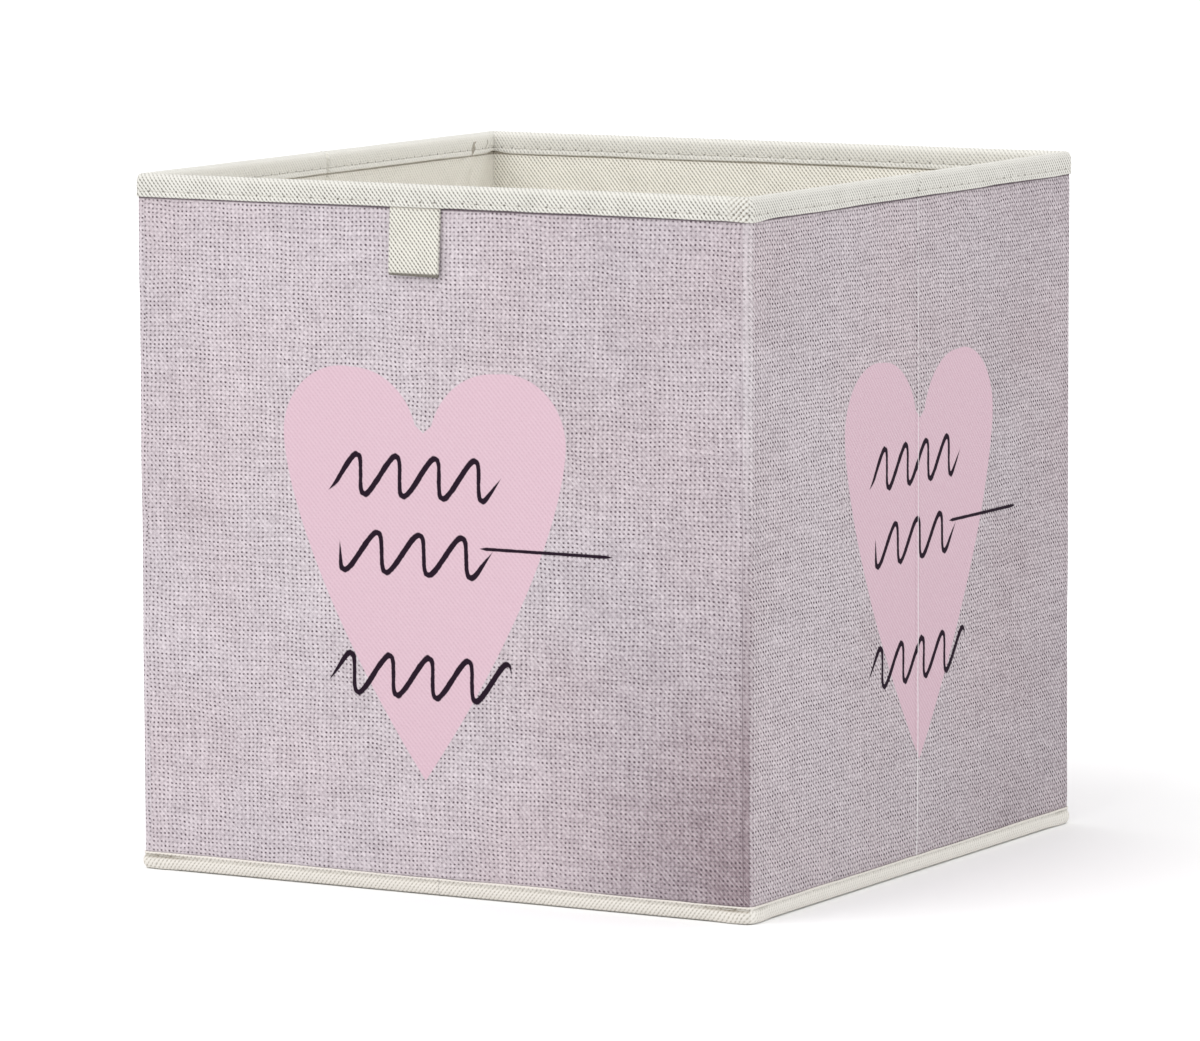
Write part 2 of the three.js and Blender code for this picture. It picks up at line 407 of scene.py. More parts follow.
def rim_wander(c, a, z, outer):
    """The lower edge wanders a little, dips at the front right corner, and rises inside the corners."""
    wander = 0.28 * ripple(c, 3 + 9 * outer, 44, 11) + 0.12 * ripple(c, 5 + 7 * outer, 12, 12)
    wander = wander - 0.85 * outer * bump(c - SIDE / 2 - 3.5, 10)
    wander = wander + (1 - outer) * 1.1 * bump(np.abs(a) - STRAIGHT, 6)
    return wander * ramp(z, 305.5, 301.8)


def rim_tucks(c, a, z, outer, facing):
    """Tucks where the tape turns the front right corner, and fainter ones at every corner."""
    to_corner = c - SIDE / 2
    tucks = np.cos((to_corner - (z - 302)) * 2 * math.pi / TUCK)
    reach = bump(to_corner + 5.2, 3.6) * bump(z - 305.5, 3.6)
    faint = np.sin((np.abs(np.abs(a) - STRAIGHT) * 0.8 + z) * 2 * math.pi / 3.4)
    near = bump(np.abs(a) - STRAIGHT - 1, 5) * bump(z - 306, 4)
    return outer * 0.28 * tucks * reach + facing * 0.08 * faint * near


def rim_crease(a, z, outer, facing):
    """Where the tape gives at a side's crease: a ridge beside a groove outside, and pressed in inside."""
    skew = a - 0.5 * (z - 306)
    outside = facing * (0.22 * bump(skew - 1.6, 0.9) - 0.36 * bump(skew, 0.9))
    return outer * outside + (1 - outer) * crease_groove(a)


def tape_lap(c):
    """The end of the tape laps over its beginning."""
    past = c - TAPE_JOIN
    return 0.32 * ramp(past, -0.35, 0.0) * bump(np.maximum(past, 0), 9)


def over_tab(c, side, z):
    """The tape passes over the top of the pull tab."""
    over = ramp(c, TAB_LEFT - 3.5, TAB_LEFT - 0.3) * ramp(c, TAB_RIGHT + 3.5, TAB_RIGHT + 0.3)
    return 0.78 * over * np.where(side == 0, 1.0, 0.0) * ramp(z, 306.5, 302.6)


def rim_points(cs):
    """The rim tape's good face, and its places on the flat tape."""
    c, out, z, w = profile_grid(cs, RIM_PROFILE, RIM_ROWS)
    side, a = from_middle(c)
    outer = ramp(out, -3.0, -0.5)
    facing = 2 * outer - 1
    crease = np.where(side % 2 == 1, 1.0, 0.0)
    z = z + rim_wander(c, a, z, outer)
    pucker = 0.06 * ripple(c, z, 7.5, 13) + 0.05 * ripple(c, z, 3.4, 14)
    out = out - facing * hole_dip(c, z, RIM_STITCH_Z, 0.3) + facing * pucker * ramp(z, 301.8, 303)
    out = out + rim_tucks(c, a, z, outer, facing) + crease * rim_crease(a, z, outer, facing)
    out = out + facing * tape_lap(c) + outer * over_tab(c, side, z)
    z = z - crease * 0.22 * bump(a, 1.6) * ramp(z, 309, 311.5)
    z = z + 0.10 * ripple(c, 9 + 0 * z, 26, 15) * ramp(z, 306, 311)
    return placed(c, out, z, w + 300)


FOOT_PROFILE = [
    (0.12, 7.55), (0.42, 7.5), (0.58, 7.1), (0.45, 6.5), (0.22, 5.95), (0.42, 5.3), (0.74, 4.3), (0.86, 3.1),
    (0.70, 1.8), (0.25, 0.75), (-0.6, 0.15), (-1.8, 0.0), (-3.2, 0.08), (-4.1, 0.5), (-4.45, 1.6),
    (-4.5, 3.4),
    (-4.35, 5.2), (-4.15, 5.95), (-4.3, 6.8), (-4.2, 7.5),
]
FOOT_ROWS = 44


def foot_points(cs):
    """The foot tape's good face, and its places on the flat tape."""
    c, out, z, w = profile_grid(cs, FOOT_PROFILE, FOOT_ROWS)
    side, a = from_middle(c)
    outer = ramp(out, -3.0, -0.5)
    facing = 2 * outer - 1
    high = ramp(z, 5.0, 7.3)
    z = z + high * (0.32 * ripple(c, 2 + 9 * outer, 52, 21) + 0.13 * ripple(c, 4 + 9 * outer, 13, 22))
    out = out - facing * hole_dip(c, z, FOOT_STITCH_Z, 0.22)
    puff = ramp(z, 0.4, 2.5) * ramp(z, 5.8, 4.6)
    out = out + facing * puff * (0.14 * ripple(c, z, 21, 23) + 0.05 * ripple(c, z, 5, 24))
    # at each corner the tape bunches: a deep groove over a puffed, slanting tuck that sags to the floor
    near = np.abs(a) - STRAIGHT
    out = out + outer * puff * 0.45 * bump(near + 2.0, 5.0)
    out = out - outer * 0.48 * bump(near + 7, 5.0) * bump(z - 5.6, 0.9)
    z = z - outer * 0.9 * bump(near + 6, 6.0) * ramp(z, 4.4, 1.6)
    slant = np.sin((near + 0.7 * z) * 2 * math.pi / 2.6)
    out = out + outer * puff * 0.17 * slant * bump(near + 5, 6)
    crease = np.where(side % 2 == 1, 1.0, 0.0)
    out = out - crease * outer * 0.3 * bump(a - 0.3 * (z - 4), 0.9)
    z = np.maximum(z, 0.0)
    return placed(c, out, z, w + 600)


def thread_paths(start, end, z, out_at, sink):
    """The stitches that lie between the needle holes from start to end; their ends sink into the holes."""
    paths = []
    t = np.linspace(-1, 1, 9)
    for n in range(math.floor(start / STITCH) - 1, math.ceil(end / STITCH) + 1):
        middle = (n + 0.5) * STITCH
        if start <= middle < end:
            x, y = plan(middle + t * 0.43 * STITCH, out_at - sink * np.abs(t) ** 5)
            paths.append(np.stack([x, y, z + 0.05 * np.sin(n * 2.4) + 0 * t], 1))
    return paths


# ---- colours, as linear red, green and blue ----
LINING_LIGHT = (0.940, 0.915, 0.845)
LINING_DARK = (0.320, 0.295, 0.235)
INSERT_LIGHT = (0.820, 0.790, 0.722)
INSERT_DARK = (0.450, 0.418, 0.350)
TAB_LIGHT = (0.690, 0.672, 0.612)
TAB_DARK = (0.120, 0.110, 0.088)
TAPE_LIGHT = (0.680, 0.667, 0.622)
TAPE_DARK = (0.110, 0.102, 0.082)
# the paler inside face of the tape, also used as painted light on the left inside and on the right side's rim
# and foot
TAPE_INSIDE = (0.920, 0.905, 0.850)
FOOT_LIGHT = (0.700, 0.670, 0.620)
FOOT_DARK = (0.400, 0.370, 0.320)
# painted shade for grooves, tuck hollows and under the rim tape, and also dust on the insert
SHADE_AND_DUST = (0.240, 0.200, 0.150)
LIP = (0.740, 0.690, 0.640)
# painted shade in the needle holes and the tab's lower fold
HOLE_AND_FOLD_SHADE = (0.120, 0.105, 0.085)
BURLAP_LILAC = (0.640, 0.582, 0.618)
BURLAP_PINK = (0.620, 0.535, 0.565)
BURLAP_LILAC_DEEP = (0.235, 0.200, 0.224)
BURLAP_PINK_DEEP = (0.230, 0.175, 0.195)
# the dark of the burlap's gaps, also used as painted shade under the rim tape and along the cloth's end
BURLAP_GAP = (0.060, 0.038, 0.050)
PRESSED = (0.230, 0.190, 0.210)
UNPRINTED = (0.730, 0.700, 0.715)
HEART_PINK = (0.625, 0.452, 0.520)
HEART_SHADE = (0.570, 0.390, 0.455)
INK = (0.014, 0.006, 0.014)
THREAD_LIGHT = (0.640, 0.620, 0.570)
THREAD_DARK = (0.440, 0.420, 0.370)
BOARD_PALE = (0.36, 0.32, 0.25)
BOARD_DEEP = (0.27, 0.235, 0.185)
BOARD_FLECK = (0.13, 0.11, 0.09)
FLOOR_PALE = (0.93, 0.93, 0.93)
FLOOR_PALER = (0.95, 0.95, 0.95)

# ---- patterns ----
EMBOSS_U = 2.1  # pitch of the pressed dashes along the cloth
EMBOSS_V = 2.47  # and across it
DASH_LEAN = (0.65, 0.76)  # sine and cosine of a dash's slant
DASH_UNEVEN = 0.3  # how much fainter the faintest dash is
PRINT_EMBOSS = 1.11  # the printed cloth's pressed pattern is this much wider than the tape's
WARP = 2.16  # pitch of the printed burlap's upright threads
WEFT = 1.93  # and of the level ones
LOBE_ROUNDS = ((36.0, 198.0, 33.0), (41.3, 201.0, 30.3))  # each lobe is two circles: across, height, radius
HEART_HALF = 71.5
WIDEST_Z = 199.0
NOTCH_Z = 203.5
HEART_TIP = 50.4
HEART_FRONT = -6.6  # how far the heart lies from the middle of the front
HEART_RIGHT = 2.2  # and of the right side
# each stroke's height, left end, right end, pitch and phase
STROKES = ((184.0, -46.0, 39.0, 20.0, 0.1), (150.0, -45.0, 34.0, 21.5, 0.5), (96.0, -48.0, 43.0, 20.0, 0.3))
STROKE_RISE = 8.5
STROKE_LEAN = 0.38
STROKE_THICK = 2.4
TAIL = (154.5, 28.0, 95.0)  # the middle stroke's tail: height, left end, right end
SEAM_AT = on_side(0, 151.2)
FRONT, RIGHT, LEFT, FRONT_AGAIN = 0, 1, 3, 4  # sides by number; the cloth ends on the front again


# ---- materials ----
def operation(name):
    """A method that works out a new number from this one, or from this one and another."""
    return lambda number, other=0.0: number.graph.math(name, number, other)


class Number:
    """A number that varies over a surface, with the arithmetic that its material needs."""

    def __init__(self, graph, socket):
        self.graph = graph
        self.socket = socket

    __add__ = __radd__ = operation("ADD")
    __sub__ = operation("SUBTRACT")
    __mul__ = __rmul__ = operation("MULTIPLY")
    __truediv__ = operation("DIVIDE")
    floor = operation("FLOOR")
    fraction = operation("FRACT")
    root = operation("SQRT")
    size = operation("ABSOLUTE")
    smallest = operation("MINIMUM")
    largest = operation("MAXIMUM")

    def __rsub__(self, other):
        return self.graph.math("SUBTRACT", other, self)

    def wave(self):
        """Cosine of a number of turns."""
        return self.graph.math("COSINE", self * (2 * math.pi))

    def clamp(self):
        return self.smallest(1.0).largest(0.0)

    def ramp(self, low, high):
        """0 at low, 1 at high, smooth between; low may be the larger."""
        node = self.graph.node("ShaderNodeMapRange", interpolation_type="SMOOTHSTEP")
        self.graph.feed(node.inputs["Value"], self)
        swap = low > high
        self.graph.feed(node.inputs["From Min"], high if swap else low)
        self.graph.feed(node.inputs["From Max"], low if swap else high)
        self.graph.feed(node.inputs["To Min"], 1.0 if swap else 0.0)
        self.graph.feed(node.inputs["To Max"], 0.0 if swap else 1.0)
        return Number(self.graph, node.outputs["Result"])


class Graph:
    """A material with a Principled shader, and short ways to add nodes to it."""

    def __init__(self, name, roughness, sheen=0.0, specular=0.3):
        self.material = bpy.data.materials.new(name)
        self.material.use_nodes = True
        self.tree = self.material.node_tree
        self.tree.nodes.clear()
        self.shader = self.node("ShaderNodeBsdfPrincipled")
        output = self.node("ShaderNodeOutputMaterial")
        self.tree.links.new(self.shader.outputs[0], output.inputs["Surface"])
        self.shader.inputs["Roughness"].default_value = roughness
        self.shader.inputs["Specular IOR Level"].default_value = specular
        self.shader.inputs["Sheen Weight"].default_value = sheen
        self.shader.inputs["Sheen Roughness"].default_value = 0.6

    def node(self, kind, **settings):
        made = self.tree.nodes.new(kind)
        for key, value in settings.items():
            setattr(made, key, value)
        return made

    def feed(self, socket, value):
        if isinstance(value, Number):
            value = value.socket
        if isinstance(value, bpy.types.NodeSocket):
            self.tree.links.new(value, socket)
        else:
            socket.default_value = value

    def math(self, operation, a, b=0.0):
        made = self.node("ShaderNodeMath", operation=operation)
        self.feed(made.inputs[0], a)
        self.feed(made.inputs[1], b)
        return Number(self, made.outputs[0])

    def flat(self):
        """The place on the flat cloth, in millimetres: along it, across it, and the height in the bin."""
        given = self.node("ShaderNodeAttribute", attribute_name="flat")
        parts = self.node("ShaderNodeSeparateXYZ")
        self.feed(parts.inputs[0], given.outputs["Vector"])
        return tuple(Number(self, parts.outputs[k]) for k in range(3))

    def place(self):
        """The place in the bin, in millimetres, from the shape itself."""
        given = self.node("ShaderNodeTexCoord")
        parts = self.node("ShaderNodeSeparateXYZ")
        self.feed(parts.inputs[0], given.outputs["Object"])
        return tuple(Number(self, parts.outputs[k]) * 1000.0 for k in range(3))

    def vector(self, x, y=0.0, z=0.0):
        made = self.node("ShaderNodeCombineXYZ")
        for socket, value in zip(made.inputs, (x, y, z)):
            self.feed(socket, value)
        return made.outputs[0]

    def noise(self, x, y, z=0.0, detail=2.0, rough=0.5):
        """Smooth noise round 0, from about -0.5 to 0.5, with bumps about 1 across."""
        made = self.node("ShaderNodeTexNoise")
        self.feed(made.inputs["Vector"], self.vector(x, y, z))
        self.feed(made.inputs["Scale"], 1.0)
        self.feed(made.inputs["Detail"], detail)
        self.feed(made.inputs["Roughness"], rough)
        return Number(self, made.outputs["Fac"]) - 0.5

    def chance(self, x, y):
        """A different number from 0 to 1 for each whole x and y."""
        made = self.node("ShaderNodeTexWhiteNoise", noise_dimensions="2D")
        self.feed(made.inputs["Vector"], self.vector(x, y))
        return Number(self, made.outputs["Value"])

    def mix(self, share, a, b):
        made = self.node("ShaderNodeMix", data_type="RGBA")
        self.feed(made.inputs["Factor"], share)
        for socket, value in ((made.inputs["A"], a), (made.inputs["B"], b)):
            sockets = [s for s in made.inputs if s.name == socket.name and s.type == "RGBA"]
            self.feed(sockets[0], (*value, 1.0) if isinstance(value, tuple) else value)
        return [s for s in made.outputs if s.type == "RGBA"][0]

    def finish(self, colour, height, depth):
        """Sets the colour, and a relief of the given depth in millimetres."""
        self.feed(self.shader.inputs["Base Color"], colour)
        if height is not None:
            relief = self.node("ShaderNodeBump")
            self.feed(relief.inputs["Height"], height)
            self.feed(relief.inputs["Distance"], depth * MM)
            self.feed(relief.inputs["Strength"], 1.0)
            self.feed(self.shader.inputs["Normal"], relief.outputs[0])
        return self.material


def side_of(u):
    """The number of the side that a place along the cloth lies on."""
    return (u / SIDE + 0.5).floor()


def where_side(side, *numbers):
    """1 where the side is one of those numbered, and 0 elsewhere."""
    return sum((side - float(number)).size().ramp(0.6, 0.4) for number in numbers)


def emboss(g, u, v):
    """The pressed pattern of spunbond cloth: 1 in each slanting dash of a centred lattice, 0 between."""
    sine, cosine = DASH_LEAN
    dashes = []
    for shift in (0.0, 0.5):
        p = u / EMBOSS_U + shift
        q = v / EMBOSS_V + shift
        x = (p.fraction() - 0.5) * EMBOSS_U
        y = (q.fraction() - 0.5) * EMBOSS_V
        along = x * sine - y * cosine
        across = x * cosine + y * sine
        far = (along * along / 0.40 + across * across / 0.14).root()
        strength = 1.0 - DASH_UNEVEN * g.chance(p.floor() + 40.0 * shift, q.floor())
        dashes.append(far.ramp(1.15, 0.5) * strength)
    rows = (u / EMBOSS_U + v / EMBOSS_V).wave() * 0.5 + 0.5
    return (dashes[0].largest(dashes[1]) * 0.66 + rows * rows * 0.34).clamp()


def fibres(g, u, v):
    """The faint lie of single fibres in non-woven cloth."""
    return g.noise(u * 2.2, v * 0.7, 3.0, detail=3.0, rough=0.7) + g.noise(u * 0.6, v * 2.4, 8.0, detail=2.0)


def cream(name, light, dark, roughness=0.85, mirrored=False):
    """Matt cream non-woven, darker in its pressed dashes: its graph, its colour and its relief."""
    g = Graph(name, roughness, sheen=0.08)
    u, v, _ = g.flat()
    u = u + g.noise(u / 30.0, v / 30.0, 1.0) * 0.9
    v = v + g.noise(u / 30.0, v / 30.0, 5.0) * 0.9
    dash = emboss(g, u * -1.0 if mirrored else u, v)
    thread = fibres(g, u, v)
    blotch = g.noise(u / 14.0, v / 14.0, 9.0)
    colour = g.mix((dash + thread * 0.36 + blotch * 0.3).clamp(), light, dark)
    return g, colour, thread * 0.35 - dash


def needle_holes(u, z, hole_z):
    """1 in each needle hole."""
    x = ((u / STITCH + 0.5).fraction() - 0.5) * STITCH
    y = z - hole_z
    return (x * x / 0.40 + y * y / 0.25).root().ramp(1.1, 0.4)


def lining_cloth():
    """The cloth's other side, so its dashes slant the other way. It carries painted light on the left side
    and painted shade under the rim.
    """
    g, colour, height = cream("lining_nonwoven", LINING_LIGHT, LINING_DARK, mirrored=True)
    u, v, _ = g.flat()
    # painted light: the left side is made lighter to make up for the light it lacks
    colour = g.mix(where_side(side_of(u), LEFT) * 0.7, colour, LINING_LIGHT)
    # painted shade under the rim
    colour = g.mix(v.ramp(300.7, 301.5) * 0.7, colour, SHADE_AND_DUST)
    return g.finish(colour, height, 0.2)


def insert_cloth():
    """The cover of the loose insert and the base under it, a little dusty in the middle."""
    g, colour, height = cream("insert_nonwoven", INSERT_LIGHT, INSERT_DARK)
    x, y, _ = g.place()
    worn = (x * x + y * y).root().ramp(130.0, 20.0) * (g.noise(x / 40.0, y / 40.0, 3.0) + 0.5).clamp()
    return g.finish(g.mix(worn * 0.10, colour, SHADE_AND_DUST), height, 0.2)


def tab_cloth():
    """Cream cloth, with painted shade in the fold at the tab's lower end and where it goes under the rim
    tape.
    """
    g, colour, height = cream("tab_nonwoven", TAB_LIGHT, TAB_DARK)
    _, _, z = g.flat()
    # painted shade in the fold at the tab's lower end
    colour = g.mix(z.ramp(273.8, 273.0) * 0.9, colour, HOLE_AND_FOLD_SHADE)
    # painted shade where the tab goes under the rim tape
    colour = g.mix(z.ramp(301.0, 301.9) * 0.55, colour, SHADE_AND_DUST)
    return g.finish(colour, height, 0.2)


def rim_tape():
    """The tape round the rim: a painted highlight over its top edge, with a hole at each stitch."""
    g, colour, height = cream("rim_tape", TAPE_LIGHT, TAPE_DARK, roughness=0.82)
    u, w, z = g.flat()
    side = side_of(u)
    right = where_side(side, RIGHT)
    # painted highlight over the top of the rim, which faces up
    colour = g.mix(z.ramp(308.9, 311.0) * 0.45, colour, TAPE_LIGHT)
    inside = w.ramp(311.5, 315.0)
    # the inside face is a paler tape, with painted light added on the left side
    colour = g.mix(inside * (where_side(side, LEFT) * 0.45 + 0.38), colour, TAPE_INSIDE)
    # painted light on the right side's outside
    colour = g.mix(right * (1.0 - inside) * 0.12, colour, TAPE_INSIDE)
    # tucks where the tape turns the front right corner: painted highlights on their crests and painted shade
    # in their hollows
    beside = u - SIDE / 2
    tucked = beside.ramp(-12.0, -7.0) * beside.ramp(0.6, -0.6) * (1.0 - inside)
    tuck = ((beside - z + 302.0) / TUCK).wave()
    colour = g.mix(tucked * tuck.ramp(-0.2, 0.9) * 0.8, colour, TAPE_LIGHT)
    colour = g.mix(tucked * tuck.ramp(-0.4, -1.0) * 0.5, colour, SHADE_AND_DUST)
    # painted shade in the needle holes, darker beside the tab and on the right
    hole = needle_holes(u, z, RIM_STITCH_Z)
    by_tab = (u + 10.0).size().ramp(75.0, 25.0)
    hole_shade = (g.noise(u / 35.0, 4.0) * 2.0 + 0.6 + right * 0.2 + by_tab * 0.6).clamp()
    colour = g.mix(hole * (hole_shade * 0.6 + 0.35), colour, HOLE_AND_FOLD_SHADE)
    colour = g.mix(z.ramp(302.25, 301.7) * 0.3, colour, TAPE_LIGHT)
    return g.finish(colour, height - hole, 0.18)


def foot_tape():
    """The tape round the foot: a pale lip, a stitched groove with painted shade that is strongest in front,
    then a puffed roll.
    """
    g, colour, height = cream("foot_tape", FOOT_LIGHT, FOOT_DARK, roughness=0.82)
    u, _, z = g.flat()
    side = side_of(u)
    # painted shade in the stitched groove under the lip, patchy and strongest in front and near the corners
    groove = z.ramp(7.0, 6.2) * z.ramp(4.4, 5.6)
    patch = (g.noise(u / 9.0, z / 4.0, 2.0) + 0.75).clamp()
    ends = ((u - side * SIDE).size() - STRAIGHT + 8.0).size().ramp(22.0, 0.0)
    front = where_side(side, FRONT, FRONT_AGAIN)
    groove_shade = groove * patch * (ends * 0.75 + 0.22) * (front * 0.75 + 0.25)
    colour = g.mix(groove_shade.clamp(), colour, SHADE_AND_DUST)
    # painted light on the right side
    colour = g.mix(where_side(side, RIGHT) * 0.35, colour, TAPE_INSIDE)
    colour = g.mix(z.ramp(6.6, 7.2) * 0.7, colour, LIP)
    hole = needle_holes(u, z, FOOT_STITCH_Z)
    # painted shade in the needle holes
    colour = g.mix(hole * 0.35, colour, HOLE_AND_FOLD_SHADE)
    return g.finish(colour, height - hole * 0.7, 0.16)


def heart(x, z):
    """1 inside a plain heart: rounded lobes, a wide notch between them and swelling sides down to its tip."""
    x = x.size()
    lobe = 1000.0
    for middle, height, radius in LOBE_ROUNDS:
        dx = x - middle
        dz = z - height
        lobe = ((dx * dx + dz * dz).root() - radius).smallest(lobe)
    down = ((WIDEST_Z - z) / (WIDEST_Z - HEART_TIP)).largest(0.0)
    sides = x - (1.0 - down * down.root()) * HEART_HALF
    roof = (z - NOTCH_Z - x * 0.8).largest((z - WIDEST_Z).smallest(x - 7.0))
    return lobe.smallest(sides.largest(roof)).ramp(0.3, -0.3)


def brush_strokes(g, x, z):
    """1 inside three plain wavy strokes of a dry brush; the middle one runs out in a straight tail."""
    rough = g.noise(x / 5.0, z / 5.0, 2.0) * 0.7 + g.noise(x / 1.3, z / 1.3, 6.0) * 0.3
    at, left, right = TAIL
    ends = (x - left).smallest(right - x).ramp(-0.5, 4.0)
    drawn = ((z - at).size() - (0.75 + rough * 0.5) * ends).ramp(0.2, -0.2) * ends.ramp(0.0, 0.2)
    for at, left, right, pitch, phase in STROKES:
        leaning = x - (z - at) * STROKE_LEAN
        angle = leaning / pitch + phase
        rise = (angle - 0.25).wave() * STROKE_RISE
        slope = angle.wave() * (STROKE_RISE * 2 * math.pi / pitch)
        upright = slope * STROKE_LEAN + 1.0
        off = (z - at - rise).size() / (slope * slope + upright * upright).root()
        half = STROKE_THICK / 2 + slope * 0.07 + rough
        ends = (leaning - left).smallest(right - leaning).ramp(-0.5, 5.0)
        drawn = drawn.largest((off - half * ends).ramp(0.2, -0.2) * ends.ramp(0.0, 0.2))
    dry = g.noise(x * 0.9, z * 2.4, 4.0, detail=3.0, rough=0.7).ramp(0.30, 0.17)
    return drawn * (dry * 0.3 + 0.7)


def burlap(g, u, v, over_under):
    """A printed open weave: how lit its threads are, and how open its gaps are."""
    sway_u = g.noise(u / 24.0, v / 24.0, 1.0) * 3.4 + g.noise(u / 3.0, v / 9.0, 2.0) * 0.65
    sway_v = g.noise(u / 24.0, v / 24.0, 7.0) * 3.4 + g.noise(u / 9.0, v / 3.0, 4.0) * 0.65
    p = (u + sway_u) / WARP
    q = (v + sway_v) / WEFT
    x = p.fraction() - 0.5
    y = q.fraction() - 0.5
    field = g.noise(u / 9.0, v / 9.0, 12.0, detail=3.0, rough=0.6)
    open_share = (g.chance(p.floor(), q.floor()) * 0.8 + field * 1.6 + 0.46).clamp()
    far = (x * x / 0.074 + y * y / 0.062).root()
    gap = far.ramp(1.45, 0.25) * open_share
    warp = g.noise((p + 0.5).floor() * 7.31, v / 24.0, 3.0, detail=2.0)
    weft = g.noise(u / 24.0, (q + 0.5).floor() * 5.17, 6.0, detail=2.0)
    over = (p * 0.5).wave() * (q * 0.5).wave()
    hair = g.noise(u * 1.1, v * 0.22, 5.0, detail=3.0, rough=0.7) * y.size().ramp(0.5, 0.1)
    hair = hair + g.noise(u * 0.22, v * 1.1, 9.0, detail=3.0, rough=0.7) * x.size().ramp(0.5, 0.1)
    grain = g.noise(u * 1.9, v * 1.9, 15.0, detail=2.0)
    lit = 0.715 + warp * 0.45 + weft * 0.5 + over * over_under + hair + grain * 0.6
    return lit, gap


def burlap_colour(g, u, v, lit, gap, first, second):
    """The burlap's colour: deeper and pinker at each side's lower right, and on the right side."""
    a = u - side_of(u) * SIDE
    low_right = a.ramp(40.0, 165.0) * v.ramp(170.0, 10.0)
    deeper = low_right * (first * 0.42 + 0.10) + a.ramp(-20.0, 110.0) * 0.13 + second * 0.10
    blot = g.noise(u / 85.0, v / 85.0, 20.0, detail=2.0)
    tint = (blot.ramp(-0.2, 0.25) * 0.7 + low_right * (first * 0.6 + 0.1) + second * 0.25).clamp()
    thread = g.mix(tint, BURLAP_LILAC, BURLAP_PINK)
    shade = g.mix(tint, BURLAP_LILAC_DEEP, BURLAP_PINK_DEEP)
    lit = lit + g.noise(u / 60.0, v / 60.0, 27.0, detail=3.0) * 0.22 - deeper
    colour = g.mix(lit.clamp(), shade, thread)
    return g.mix((gap * (second * 0.40 + 1.0)).clamp(), colour, BURLAP_GAP), lit


def cracked_crease(g, colour, a, v, folded):
    """The ink cracks off along the creases of the folding sides."""
    wander = g.noise(v / 16.0, 3.0) * 1.2 + g.noise(v / 3.0, 6.0) * 0.5
    width = 0.34 + g.noise(v / 5.0, 9.0) * 0.8 + v.ramp(190.0, 40.0) * 0.22
    crack = ((a - wander - 0.4).size() - width).ramp(0.22, -0.12) * folded
    chips = (g.noise(v / 1.6, a / 1.2, 11.0) + 0.12 + v.ramp(230.0, 60.0) * 0.5).ramp(-0.08, 0.12)
    return g.mix(crack * chips * 0.85, colour, UNPRINTED)


def cloth_end(g, colour, u, v):
    """The cloth's own end shows as a thin shadow and a turned band, just before the front right corner."""
    beside = u - SEAM_AT - g.noise(v / 30.0, 14.0) * 0.5
    seam = beside.size().ramp(0.45, 0.1)
    seam = seam * (g.noise(v / 9.0, 17.0) + v.ramp(230.0, 90.0) * 0.55 + 0.25).clamp()
    turned = beside.ramp(0.0, 0.8) * (beside - 5.5).ramp(0.6, -0.6)
    colour = g.mix(turned * v.ramp(190.0, 110.0) * 0.22, colour, BURLAP_PINK_DEEP)
    colour = g.mix(turned * v.ramp(150.0, 230.0) * 0.22, colour, UNPRINTED)
    return g.mix(seam * 0.6, colour, BURLAP_GAP)


def printed_cloth():
    """Pale cloth printed with a lilac burlap, a pink heart on each side and three brush strokes on it."""
    g = Graph("printed_nonwoven", 0.9, specular=0.12)
    u, v, _ = g.flat()
    side = side_of(u)
    first = where_side(side, FRONT, FRONT_AGAIN)
    second = where_side(side, RIGHT)
    lit, gap = burlap(g, u, v, second * 0.10 + 0.10)
    colour, lit = burlap_colour(g, u, v, lit, gap, first, second)
    a = u - side * SIDE
    x = a - first * HEART_FRONT - second * HEART_RIGHT
    in_heart = heart(x, v)
    fine = g.noise(u * 0.9, v * 0.9, 31.0, detail=3.0, rough=0.7)
    pink = g.mix((fine * 0.8 + 0.5).clamp(), HEART_PINK, HEART_SHADE)
    colour = g.mix(in_heart, colour, pink)
    # the pressed pattern shows through the ink, and leaves slanting pale streaks
    pressed = u / PRINT_EMBOSS
    dash = emboss(g, pressed, v)
    colour = g.mix(dash * 0.12, colour, PRESSED)
    streak = (pressed / EMBOSS_U + v / EMBOSS_V + 0.5).wave().ramp(0.3, 1.0)
    patchy = (g.noise(u / 2.2, v / 4.0, 33.0, detail=3.0, rough=0.6) * 1.8 + second * 0.15 + 0.45).clamp()
    streak = streak * patchy * (second * 0.47 + 0.48) * (1.0 - in_heart * 0.6)
    colour = g.mix(streak.clamp(), colour, UNPRINTED)
    colour = g.mix(brush_strokes(g, x, v), colour, INK)
    colour = cracked_crease(g, colour, a, v, (side * 0.5).fraction().ramp(0.2, 0.4))
    colour = cloth_end(g, colour, u, v)
    colour = g.mix(v.ramp(300.5, 301.4) * 0.8, colour, BURLAP_GAP)  # painted shade under the rim tape
    return g.finish(colour, lit * 0.25 - gap * 0.3 - dash * 0.55 + fine * 0.5, 0.10)


def thread_material():
    """Twisted sewing thread."""
    g = Graph("sewing_thread", 0.55, sheen=0.1, specular=0.4)
    u, v, _ = g.flat()
    twist = ((u + v * 2.0) / 0.5).wave() * 0.5 + 0.5
    colour = g.mix(twist * 0.5 + g.noise(u / 2.0, v / 2.0) * 0.3, THREAD_LIGHT, THREAD_DARK)
    return g.finish(colour, twist, 0.04)


